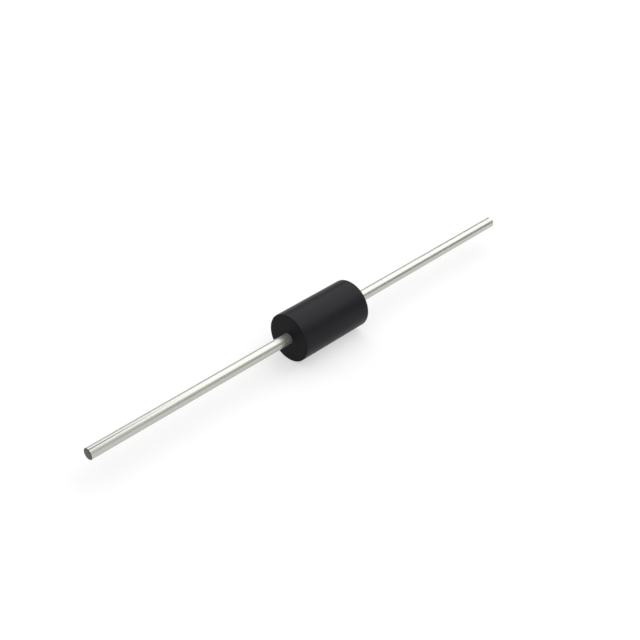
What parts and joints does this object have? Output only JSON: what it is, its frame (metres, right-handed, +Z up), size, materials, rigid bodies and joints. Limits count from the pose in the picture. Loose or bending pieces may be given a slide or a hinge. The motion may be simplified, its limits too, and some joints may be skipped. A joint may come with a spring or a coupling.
{
  "type": "axial rectifier diode",
  "caption": "Axial rectifier diode: a cylindrical black moulded case on the axis of a straight tinned wire lead at each end.",
  "frame": {"origin": "centre of the case, on the axis of the leads", "axes": "+X along the leads towards the cathode lead's cut end, +Z up, with the case lying on its side"},
  "size_m": [0.0604, 0.0054, 0.0054],
  "materials": {
    "black_epoxy": "satin",
    "tinned_copper": "satin",
    "silicon": "gloss",
    "solder": "satin",
    "silicone": "satin"
  },
  "bodies": {
    "root": {"moulded_case": "black_epoxy", "anode_lead": "tinned_copper", "cathode_lead": "tinned_copper", "silicon_die": "silicon", "anode_solder": "solder", "cathode_solder": "solder", "junction_coating": "silicone"}
  },
  "joints": []
}
